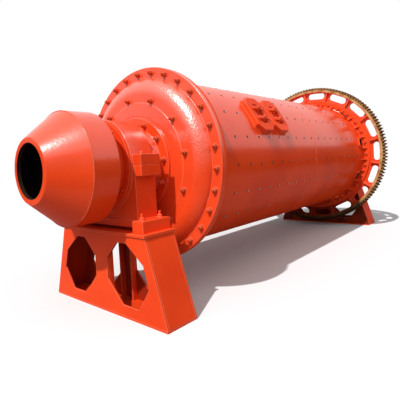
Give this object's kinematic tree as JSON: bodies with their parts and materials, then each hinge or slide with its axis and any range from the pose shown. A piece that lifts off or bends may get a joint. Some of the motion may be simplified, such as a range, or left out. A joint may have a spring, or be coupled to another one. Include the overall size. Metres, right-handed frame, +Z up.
{
  "type": "ball mill",
  "caption": "Horizontal ball mill: a bolted steel drum on two trunnion bearings and pedestals, with a cone feeder, manholes, side discharge ports and a toothed girth gear.",
  "frame": {"origin": "on the floor, under the middle of the mill's length, below the drum's axis", "axes": "+X along the drum's axis from the feeder to the girth gear, +Z up, -Y the side with the manholes"},
  "size_m": [7.176, 2.84, 2.95],
  "materials": {
    "mill_paint": "gloss",
    "gear_casting": "machined, light rust",
    "bearing_bronze": "machined"
  },
  "bodies": {
    "stand": {"discharge_bearing_bush": "bearing_bronze", "discharge_bearing_cap": "mill_paint", "discharge_bearing_housing": "mill_paint", "discharge_bearing_seals": "mill_paint", "discharge_pedestal_back_plate": "mill_paint", "discharge_pedestal_base_plate": "mill_paint", "discharge_pedestal_front_plate": "mill_paint", "discharge_pedestal_ribs": "mill_paint", "discharge_pedestal_side_plates": "mill_paint", "discharge_pedestal_top_plate": "mill_paint", "feed_bearing_bush": "bearing_bronze", "feed_bearing_cap": "mill_paint", "feed_bearing_housing": "mill_paint", "feed_bearing_seals": "mill_paint", "feed_pedestal_back_plate": "mill_paint", "feed_pedestal_base_plate": "mill_paint", "feed_pedestal_front_plate": "mill_paint", "feed_pedestal_ribs": "mill_paint", "feed_pedestal_side_plates": "mill_paint", "feed_pedestal_top_plate": "mill_paint"},
    "drum": {"discharge_head": "mill_paint", "discharge_trunnion": "mill_paint", "feed_head": "mill_paint", "feed_trunnion": "mill_paint", "feeder_back_plate": "mill_paint", "feeder_barrel": "mill_paint", "feeder_cone": "mill_paint", "gear_flange_gussets": "mill_paint", "girth_gear": "gear_casting", "manhole_door_1": "mill_paint", "manhole_door_2": "mill_paint", "manhole_frame_1": "mill_paint", "manhole_frame_2": "mill_paint", "manhole_pad": "mill_paint", "manhole_yokes_1": "mill_paint", "manhole_yokes_2": "mill_paint", "port_collars": "mill_paint", "shell_discharge_course": "mill_paint", "shell_feed_course": "mill_paint", "shell_feed_flange": "mill_paint", "shell_gear_flange": "mill_paint", "shell_port_band": "mill_paint"}
  },
  "joints": [
    {"name": "drum_spin", "type": "hinge", "parent": "stand", "child": "drum", "pos_m": [0, 0, 1.53], "axis": [1, 0, 0], "continuous": true}
  ]
}
